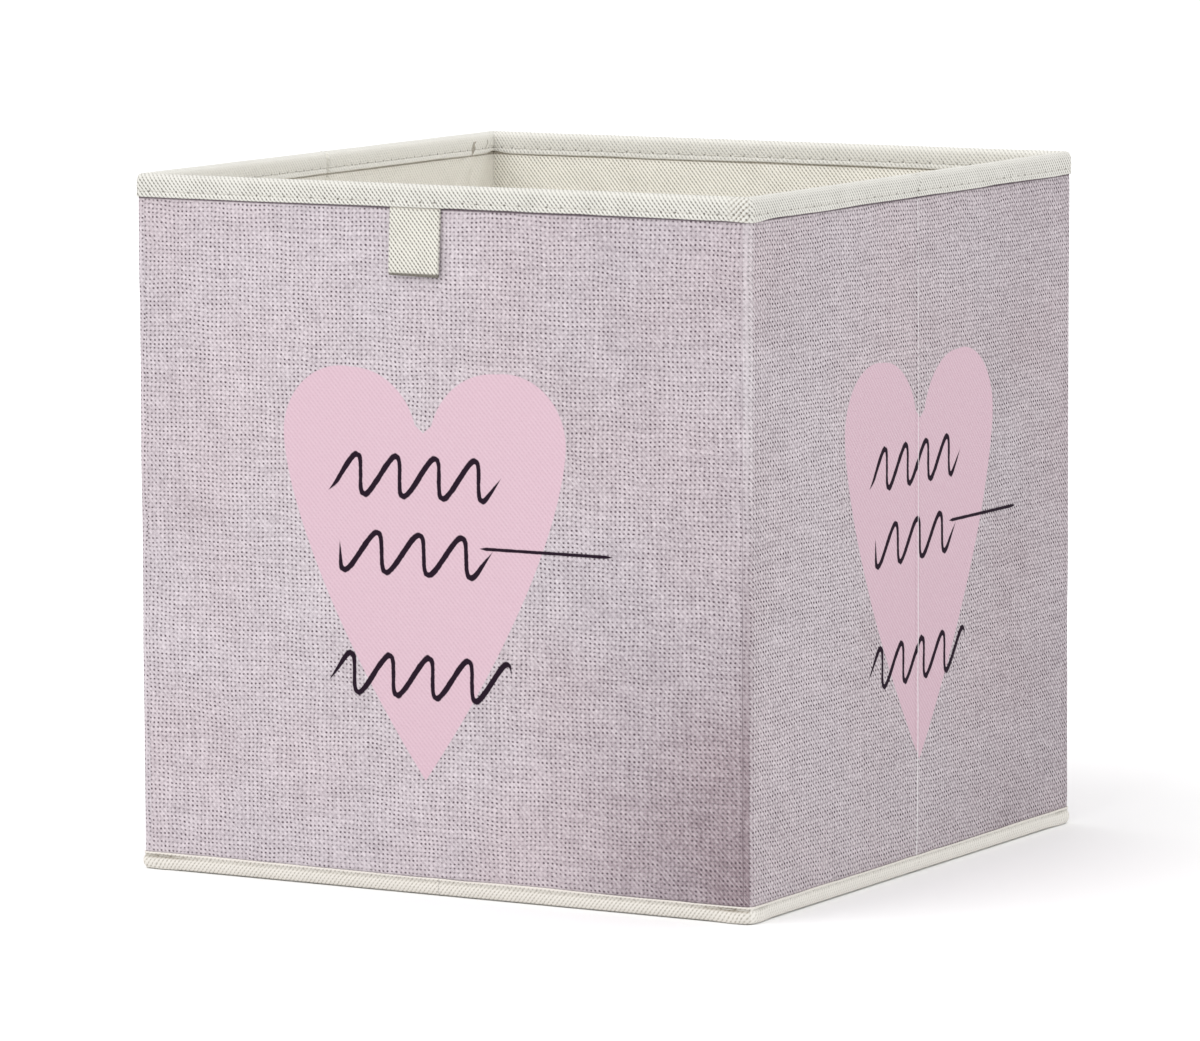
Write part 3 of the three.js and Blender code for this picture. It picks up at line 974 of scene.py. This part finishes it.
def paperboard():
    """Grey board: pressed fibres, with a few darker flecks."""
    g = Graph("grey_board", 0.92, specular=0.15)
    x, y, z = g.place()
    pulp = g.noise(x * 0.7 + y * 0.7, z * 0.9, y * 0.2, detail=4.0, rough=0.7)
    fleck = g.noise(x * 2.3, y * 2.3, z * 2.3, detail=1.0).ramp(0.18, 0.24)
    colour = g.mix((pulp + 0.5).clamp(), BOARD_PALE, BOARD_DEEP)
    return g.finish(g.mix(fleck * 0.5, colour, BOARD_FLECK), pulp, 0.12)


def floor_material():
    """A plain, very pale floor."""
    g = Graph("pale_floor", 0.9, specular=0.0)
    x, y, _ = g.place()
    tone = g.noise(x / 400.0, y / 400.0, 0.0)
    return g.finish(g.mix((tone * 0.2 + 0.5).clamp(), FLOOR_PALE, FLOOR_PALER), None, 0.0)


# ---- building the pieces ----
def wall_rows():
    """Heights of the rows of a wall's cloth, closer together at its ends."""
    zs = list(np.arange(CLOTH_FROM + 3, CLOTH_TO - 3, STEP))
    return np.array([CLOTH_FROM, CLOTH_FROM + 1.5] + zs + [CLOTH_TO - 1.5, CLOTH_TO])


def build_printed_cloth(material):
    """One strip of printed cloth, cut where the bin folds, with a layer under the corner that opens."""
    zs = wall_rows()
    strips = {}
    for name, start, end, body, after in SEGMENTS:
        points, flat = printed_points(columns(start, end), zs)
        piece = cloth(name + "_printed_cloth", points, flat, PRINT_THICK, material)
        settle(piece, body, after, points[:, 0], points[:, -1])
        if name in WALLS:
            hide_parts(name + "_outer_cloth")
        elif name.endswith("crease"):
            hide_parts(name + "_strip")
        else:
            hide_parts(name + "_fold")
        strips[name] = piece
    points, flat = printed_points(columns(*UNDERLAP), zs, sink=0.42)
    under = cloth("front_right_printed_underlap", points, flat, 0.3, material)
    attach(under, "right_front_wall")
    strips["underlap"] = under
    return strips


def build_lining(material):
    """One strip of lining, cut where the bin folds. Its columns run backwards, because it faces inwards."""
    zs = wall_rows()
    strips = {}
    for name, start, end, body, after in SEGMENTS:
        points, flat = lining_points(columns(start, end), zs)
        piece = cloth(name + "_lining_cloth", points[:, ::-1], flat[:, ::-1], LINING_THICK, material)
        settle(piece, body, after, points[:, 0], points[:, -1])
        if name in WALLS:
            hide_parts(name + "_lining")
        strips[name] = piece
    return strips


def build_rim(material, thread):
    """One tape round the rim, cut where the bin folds, with its stitches outside and inside."""
    strips = {}
    seams = {}
    join = [TAPE_JOIN + x for x in (-0.5, -0.35, -0.2, 0.0, 0.3, 0.7)]
    tucked = list(np.arange(on_side(0, 140), on_side(1, -140), 0.4))
    for name, start, end, body, after in SEGMENTS:
        extra = stitch_columns(start, end) + join
        if name in ("front", "front_right_corner"):
            extra += tucked
        points, flat = rim_points(columns(start, end, extra))
        piece = cloth(name + "_rim_tape", points, flat, TAPE_THICK, material)
        settle(piece, body, after, points[:, 0], points[:, -1])
        if name in WALLS:
            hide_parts(name + "_rim_binding")
        strips[name] = piece
        outer = thread_paths(start, end, RIM_STITCH_Z, 0.74, 0.42)
        inner = thread_paths(start, end, RIM_STITCH_Z, -4.48, -0.42)
        if outer:
            sewn = tubes(name + "_rim_stitching", outer + inner, thread)
            settle(sewn, body, after, points[:, 0], points[:, -1])
            seams[name] = sewn
    strips["underlap"] = build_rim_underlap(material)
    return strips, seams


RIM_UNDERLAP = [(0.12, 302.1), (0.16, 305), (0.16, 308.8), (-0.5, 310.8), (-1.8, 311.3)]


def build_rim_underlap(material):
    """The tape under the front right corner, where the ring opens."""
    c, out, z, w = profile_grid(columns(*UNDERLAP), RIM_UNDERLAP, 14)
    points, flat = placed(c, out, z, w + 300)
    under = cloth("front_right_rim_underlap", points, flat, 0.25, material)
    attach(under, "right_front_wall")
    return under


def flatten(piece):
    """The soft bottom of the bin rides with the back wall, on a mesh of its own."""
    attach(piece, "back_wall")
    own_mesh(piece)


def build_foot(material, thread):
    """One tape round the foot, and its stitches."""
    cs = columns(0.0, ROUND, stitch_columns(0.0, ROUND))[:-1]
    points, flat = foot_points(cs)
    foot = cloth("foot_tape", points[::-1], flat[::-1], TAPE_THICK, material, closed=True)
    flatten(foot)
    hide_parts(*["foot_binding_" + side for side in ("front", "back", "left", "right")])
    sewn = tubes("foot_stitching", thread_paths(0.0, ROUND, FOOT_STITCH_Z, 0.22, 0.4), thread)
    flatten(sewn)
    return foot, sewn


def rounded_square(half, radius, count):
    """Points round a rounded square, anticlockwise."""
    side = 2 * (half - radius) + math.pi / 2 * radius
    s = np.arange(count) / count * 4 * side
    k = np.floor(s / side + 0.5)
    a = s - k * side
    along = np.clip(a, radius - half, half - radius)
    turn = (a - along) / max(radius, 1e-6)
    x = along + radius * np.sin(turn)
    y = -(half - radius + radius * np.cos(turn))
    q = k * math.pi / 2
    return x * np.cos(q) - y * np.sin(q), x * np.sin(q) + y * np.cos(q)


def level_ripple(x, y, size, seed):
    """ripple over a sheet that lies level in the bin."""
    return ripple(x * 2 + 400, y + 200, size, seed)


# the insert's cover from the end of its turning beneath, round the edge, to the start of its top: half
# its width there, height
INSERT_PROFILE = [
    (118.0, 1.36), (134.0, 1.36), (146.0, 1.38), (147.9, 1.55), (148.45, 2.1), (148.5, 2.9), (148.35, 3.7),
    (147.7, 4.2), (146.2, 4.38), (143.5, 4.36),
]
INSERT_TOP = 4.4
INSERT_RINGS = 40  # as many over its top as round its edge
RING_POINTS = 480


def build_insert_cover(material):
    """The cover goes over the board and turns under its edges."""
    profile, run = through(INSERT_PROFILE, INSERT_RINGS)
    halves = list(profile[:, 0]) + list(np.linspace(140, 4, INSERT_RINGS))
    heights = list(profile[:, 1]) + [INSERT_TOP] * INSERT_RINGS
    spread = list(run - run[-1]) + list(np.linspace(3.5, 139.5, INSERT_RINGS))
    rows = []
    flats = []
    for half, height, reach in zip(halves, heights, spread):
        x, y = rounded_square(half, min(2.2, half * 0.4), RING_POINTS)
        top = 1.0 if height > 4.3 else 0.0
        swell = 0.12 * level_ripple(x, y, 60, 31) + 0.06 * level_ripple(x, y, 19, 32)
        rows.append(np.stack([x, y, height + top * swell * np.clip((148 - half) / 20, 0, 1)], -1))
        size = (143.5 - reach) / half
        flats.append(np.stack([x * size, y * size + 1000], -1))
    cover = cloth("insert_cover", np.array(rows), np.array(flats), 0.3, material, closed=True)
    close_pole(cover, len(halves), RING_POINTS)
    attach(cover, "base_insert")
    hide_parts("base_insert_cover")
    return cover


def close_pole(obj, rows, count):
    """Fills the small openings in the middle of a sheet made of rings, in place of the wall between them."""
    bm = bmesh.new()
    bm.from_mesh(obj.data)
    bm.verts.ensure_lookup_table()
    back = rows * count
    for start, flip in ((back - count, False), (2 * back - count, True)):
        ring = [bm.verts[start + j] for j in range(count)]
        bm.faces.new(ring[::-1] if flip else ring)
    between = []
    for face in bm.faces:
        numbers = [v.index for v in face.verts]
        if len(numbers) == 4 and sum(n >= back for n in numbers) == 2 and max(numbers) >= 2 * back - count:
            between.append(face)
    bmesh.ops.delete(bm, geom=between, context="FACES")
    bm.to_mesh(obj.data)
    bm.free()


def build_insert_backing(material):
    """The cloth that closes the insert beneath, inside its turnings."""
    xs = np.linspace(-143, 143, 60)
    x, y = np.meshgrid(xs, xs)
    z = 0.98 + 0.05 * level_ripple(x, y, 40, 33)
    backing = cloth("insert_backing", np.stack([x, -y, z], -1), np.stack([x, y + 1400], -1), 0.25, material)
    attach(backing, "base_insert")
    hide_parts("base_insert_backing")
    return backing


def build_insert_stitching(thread):
    """A row of stitches round the top of the insert, near its edge."""
    edge = 142.0
    stitches = 40
    t = np.linspace(-0.47, 0.47, 7)
    paths = []
    for k in range(4):
        q = k * math.pi / 2
        for n in range(stitches):
            s = -edge + (n + 0.5 + t) * 2 * edge / stitches
            x = s * math.cos(q) + edge * math.sin(q)
            y = s * math.sin(q) - edge * math.cos(q)
            paths.append(np.stack([x, y, 4.52 - 0.3 * np.abs(t / 0.47) ** 5], 1))
    sewn = tubes("insert_stitching", paths, thread)
    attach(sewn, "base_insert")
    return sewn


def build_base(material):
    """The base cloth, which sags onto the floor a little inside the bound seam."""
    half = 150.3
    xs = np.linspace(-half, half, 70)
    x, y = np.meshgrid(xs, xs)
    inside = np.clip((half - np.maximum(abs(x), abs(y))) / 20, 0, 1)
    z = 0.32 + 0.10 * (1 + level_ripple(x, y, 55, 41)) * inside
    base = cloth("bottom_cloth", np.stack([x, y, z], -1), np.stack([x, y + 1800], -1), 0.3, material)
    flatten(base)
    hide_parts("base_cloth")
    return base


# the tab from its end in front, round the fold below, to its end behind: out from the printed face, height
TAB_PROFILE = [
    (0.92, 303.6), (1.05, 302.0), (1.38, 299.5), (1.90, 292.0), (2.50, 282.0), (2.86, 275.0), (2.84, 273.0),
    (2.62, 272.15), (2.20, 271.85), (1.82, 272.2), (1.64, 273.2), (1.50, 276.0), (1.10, 284.0), (0.62, 293.0),
    (0.30, 300.0), (0.20, 303.6),
]
TAB_TOP = 303.6
TAB_LONG = 31.7


def build_tab(material):
    """Doubled cloth, folded at its lower end, with its top caught under the rim tape."""
    x, out, z, w = profile_grid(np.linspace(TAB_LEFT, TAB_RIGHT, 34), TAB_PROFILE, 76)
    middle = (TAB_LEFT + TAB_RIGHT) / 2
    low = (TAB_TOP - z) / TAB_LONG
    x = middle + (x - middle) * (1 - 0.022 * low)
    across = (x - middle) / (TAB_RIGHT - TAB_LEFT) * 2
    out = out + low * (0.28 * across ** 2 + 0.12 * across) + 0.05 * ripple(x * 3, z, 6, 51)
    z = z - 0.25 * across * low
    points = np.stack([x, -HALF - out, z], -1)[::-1]
    flat = np.stack([x, 304 - w, z], -1)[::-1]
    tab = cloth("tab_loop", points, flat, 0.5, material)
    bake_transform(tab)
    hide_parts("pull_tab")
    return tab


# the soft strips that go with the sheets of each wall
BESIDE = {
    "front": ["front_left_corner", "front_right_corner"],
    "back": ["back_left_corner", "back_right_corner"],
    "left_rear": ["left_crease"],
    "right_rear": ["right_crease"],
    "left_front": [],
    "right_front": ["underlap"],
}


def declare_wall_sheets(rim, seams):
    """Works out each wall's flat length in metres and the pieces beside it, and keeps none of them."""
    for name, start, end, _, _ in SEGMENTS:
        if name not in WALLS:
            continue
        run = (end - start) * MM
        board = [name + "_board"]
        beside = BESIDE[name]
        with_rim = [rim[n] for n in beside] + [seams[n] for n in [name] + beside if n in seams]


# ---- setting ----
def add_camera():
    """The photograph's camera, fitted to the bin's corners and creases."""
    data = bpy.data.cameras.new("camera")
    data.sensor_width = SENSOR
    data.lens = LENS
    data.clip_end = 100.0
    camera = bpy.data.objects.new("camera", data)
    bpy.context.scene.collection.objects.link(camera)
    camera.matrix_world = (
        Matrix.Translation(CAMERA_AT)
        @ Matrix.Rotation(math.radians(-CAMERA_YAW), 4, "Z")
        @ Matrix.Rotation(math.radians(90 + CAMERA_PITCH), 4, "X")
        @ Matrix.Rotation(math.radians(CAMERA_ROLL), 4, "Z")
    )
    bpy.context.scene.camera = camera


def add_lights():
    """White light from all round, and one very soft key light from the front left."""
    world = bpy.data.worlds.new("studio")
    bpy.context.scene.world = world
    world.use_nodes = True
    background = world.node_tree.nodes["Background"]
    background.inputs["Color"].default_value = (1.0, 1.0, 1.0, 1.0)
    background.inputs["Strength"].default_value = 1.10
    data = bpy.data.lights.new("key", "SUN")
    data.energy = 0.95
    data.angle = math.radians(50)
    key = bpy.data.objects.new("key", data)
    bpy.context.scene.collection.objects.link(key)
    key.rotation_euler = (math.radians(38), math.radians(-24), 0)
    bpy.context.scene.view_settings.view_transform = "Standard"


def add_floor():
    """A wide floor, just below the bin."""
    mesh = bpy.data.meshes.new("floor")
    far = 40.0
    mesh.from_pydata([(-far, -far, 0), (far, -far, 0), (far, far, 0), (-far, far, 0)], [], [(0, 1, 2, 3)])
    mesh.materials.append(floor_material())
    floor = bpy.data.objects.new("floor", mesh)
    bpy.context.scene.collection.objects.link(floor)
    floor.location.z = -0.0003


def dress_boards():
    """The stiffening boards keep their own shapes and get grey board."""
    board = paperboard()
    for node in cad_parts:
        if node.endswith("_board"):
            for slot in bpy.data.objects[node].material_slots:
                slot.material = board


add_camera()
add_lights()
add_floor()
printed_material = printed_cloth()
lining_material = lining_cloth()
thread = thread_material()
printed = build_printed_cloth(printed_material)
lining = build_lining(lining_material)
rim, seams = build_rim(rim_tape(), thread)
foot, foot_thread = build_foot(foot_tape(), thread)
insert_material = insert_cloth()
cover = build_insert_cover(insert_material)
backing = build_insert_backing(insert_material)
cover_sewn = build_insert_stitching(thread)
base = build_base(insert_material)
tab = build_tab(tab_cloth())
dress_boards()

declare_wall_sheets(rim, seams)
